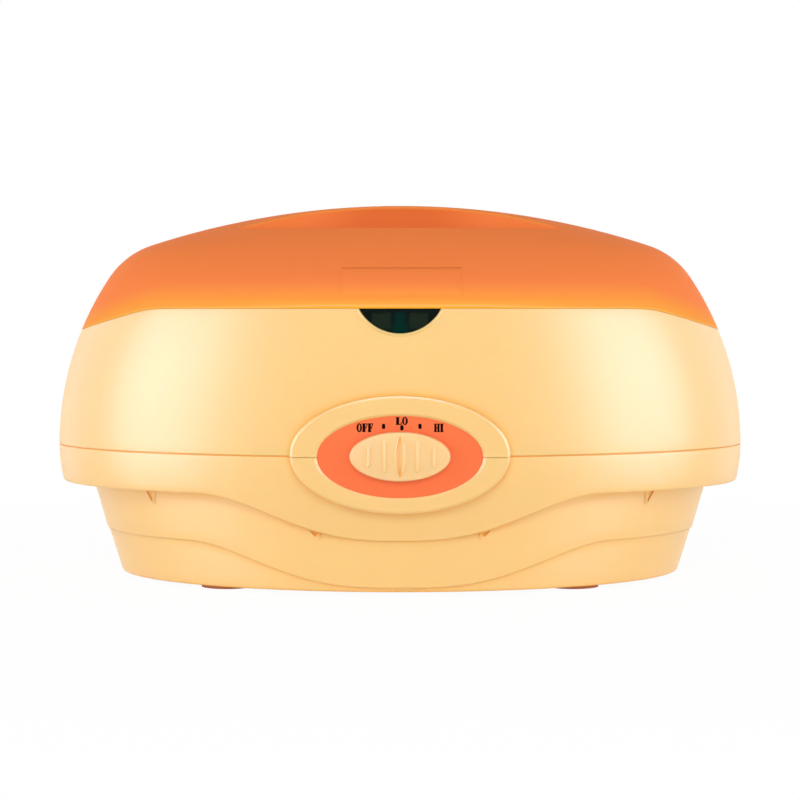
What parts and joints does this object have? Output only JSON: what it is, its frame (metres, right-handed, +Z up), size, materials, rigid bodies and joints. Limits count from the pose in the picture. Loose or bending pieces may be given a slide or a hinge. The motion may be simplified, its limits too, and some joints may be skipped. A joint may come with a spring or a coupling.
{
  "type": "paraffin wax warmer",
  "caption": "Oval paraffin wax warmer with a lift-off translucent lid, heated aluminium tank, stepped cream housing and a sliding heat control.",
  "frame": {"origin": "on the floor, under the middle of the overall size, 3.4 mm in front of the middle of the housing", "axes": "+X along the housing's width, to the right seen from the control side; -Y towards the user, where the control is; +Z up"},
  "size_m": [0.3572, 0.2412, 0.192],
  "materials": {
    "housing": "satin moulded ABS, cream",
    "lid": "translucent moulded polypropylene, orange",
    "dial": "fine satin, orange",
    "tank": "drawn sheet, non-stick lined",
    "studs": "turned",
    "gasket": "silicone",
    "grid": "moulded polypropylene",
    "lens": "tinted polycarbonate, polished",
    "lamps": "neon lamp glass",
    "black_plastic": "glass-filled nylon",
    "steel": "zinc plated",
    "ceramic": "steatite ceramic",
    "heater": "mica and resistance foil",
    "insulation": "glass-fibre felt",
    "blades": "nickel-plated brass",
    "foot_rubber": "moulded, matt",
    "live_lead": "silicone sleeve",
    "neutral_lead": "silicone sleeve",
    "earth_lead": "silicone sleeve",
    "white_lead": "silicone sleeve"
  },
  "bodies": {
    "housing": {"upper_housing": "housing", "lower_housing": "housing", "dial_plate": "dial", "tank": "tank", "tank_studs": "studs", "tank_gasket": "gasket", "indicator_lens": "lens", "power_lamp": "lamps", "ready_lamp": "lamps", "lamp_holder": "black_plastic", "slide_track": "black_plastic", "power_inlet": "black_plastic", "track_screws": "steel", "thermostat_bracket": "steel", "fuse_clip": "steel", "inlet_screws": "steel", "housing_screws": "steel", "stud_nuts": "steel", "support_bar_left": "steel", "support_bar_right": "steel", "bar_screws": "steel", "thermostat_body": "ceramic", "terminal_block": "ceramic", "thermal_fuse": "ceramic", "heater_band": "heater", "insulation_wrap": "insulation", "bottom_insulation": "insulation", "inlet_pins": "blades", "foot_front_left": "foot_rubber", "foot_front_right": "foot_rubber", "foot_rear_left": "foot_rubber", "foot_rear_right": "foot_rubber", "wire_live": "live_lead", "wire_neutral": "neutral_lead", "wire_earth": "earth_lead", "wire_heater": "white_lead", "wire_lamps": "white_lead"},
    "lid": {"lid": "lid"},
    "grid": {"tank_grid": "grid"},
    "slider": {"control_knob": "housing", "knob_carriage": "black_plastic"},
    "lever": {"thermostat_spindle": "steel", "thermostat_lever": "steel", "spindle_nut": "steel"}
  },
  "joints": [
    {"name": "lid_lift", "type": "slide", "parent": "housing", "child": "lid", "axis": [0, 0, 1], "range_m": [0, 0.15]},
    {"name": "grid_lift", "type": "slide", "parent": "housing", "child": "grid", "axis": [0, 0, 1], "range_m": [0, 0.07]},
    {"name": "knob_slide", "type": "slide", "parent": "housing", "child": "slider", "axis": [1, 0, 0], "range_m": [-0.0174, 0.0174]},
    {"name": "lever_turn", "type": "hinge", "parent": "housing", "child": "lever", "pos_m": [0, -0.0316, 0.03], "axis": [0, 0, 1], "range_deg": [-16.3, 16.3]}
  ],
  "couplings": [
    {"joint": "lever_turn", "follows": "knob_slide", "rad_per_m": 16.22}
  ]
}
